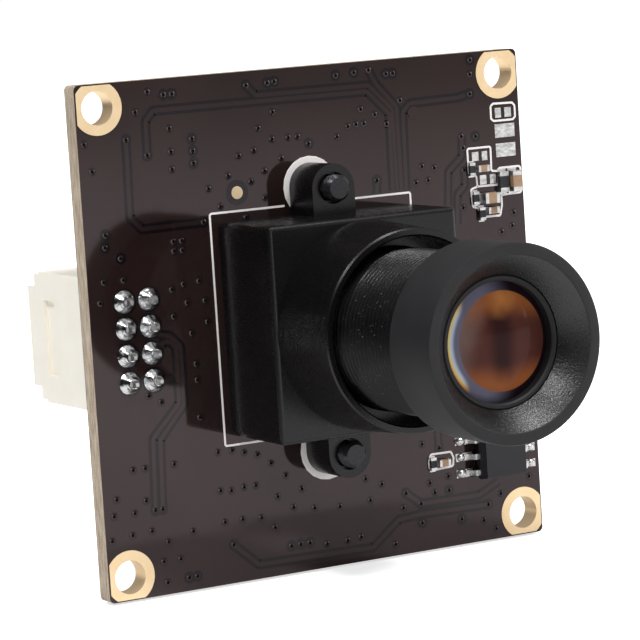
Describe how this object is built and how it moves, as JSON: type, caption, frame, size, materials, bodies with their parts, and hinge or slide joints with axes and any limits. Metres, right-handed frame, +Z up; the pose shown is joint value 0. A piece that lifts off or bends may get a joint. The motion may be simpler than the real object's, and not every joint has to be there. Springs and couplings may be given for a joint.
{
  "type": "board camera module",
  "caption": "Square circuit board that carries an image sensor under a screw-in focusing lens in a moulded holder, with corner mounting holes and a wire socket on its back.",
  "frame": {"origin": "centre of the four mounting holes, on the back face of the circuit board", "axes": "+Z up along the board, lens pointing along -Y, +X to the right as seen from in front of the lens, metres"},
  "size_m": [0.038, 0.039, 0.038],
  "materials": {
    "solder_mask": "gloss",
    "gold_plating": "satin",
    "holder_plastic": "satin",
    "black_screws": "satin",
    "black_anodised": "satin",
    "coated_glass": "gloss",
    "clear_glass": "gloss",
    "sensor_ceramic": "matte",
    "sensor_silicon": "gloss",
    "filter_glass": "gloss",
    "connector_plastic": "satin",
    "tinned_metal": "satin",
    "solder": "gloss",
    "chip_plastic": "matte",
    "capacitor_ceramic": "satin",
    "crystal_steel": "satin",
    "ferrite": "matte"
  },
  "bodies": {
    "board": {"circuit_board": "solder_mask", "plated_holes": "gold_plating", "lens_holder": "holder_plastic", "holder_screws": "black_screws", "image_sensor": "sensor_ceramic", "sensor_chip": "sensor_silicon", "sensor_window": "clear_glass", "sensor_contacts_gold": "gold_plating", "infrared_filter": "filter_glass", "connector_housing": "connector_plastic", "connector_pins": "tinned_metal", "solder_fillets": "solder", "interface_chip": "chip_plastic", "interface_leads": "tinned_metal", "chip_capacitors": "capacitor_ceramic", "chip_capacitor_ends": "tinned_metal", "chip_resistors": "chip_plastic", "chip_resistor_ends": "tinned_metal", "tinned_pads": "solder", "fiducials": "gold_plating", "processor": "chip_plastic", "processor_leads": "tinned_metal", "crystal_base": "sensor_ceramic", "crystal_can": "crystal_steel", "power_inductor": "ferrite", "inductor_ends": "tinned_metal", "regulators": "chip_plastic", "regulator_leads": "tinned_metal"},
    "lens": {"lens_barrel": "black_anodised", "front_retaining_ring": "black_anodised", "front_glass": "coated_glass", "front_spacer": "black_anodised", "second_glass": "clear_glass", "aperture_stop": "black_anodised", "third_glass": "clear_glass", "fourth_glass": "clear_glass", "rear_spacer": "black_anodised", "rear_glass": "clear_glass", "rear_retaining_ring": "black_anodised"}
  },
  "joints": [
    {"name": "focus_turn", "type": "hinge", "parent": "board", "child": "lens", "pos_m": [0, 0, 0], "axis": [0, -1, 0], "range_deg": [-180, 180]}
  ]
}
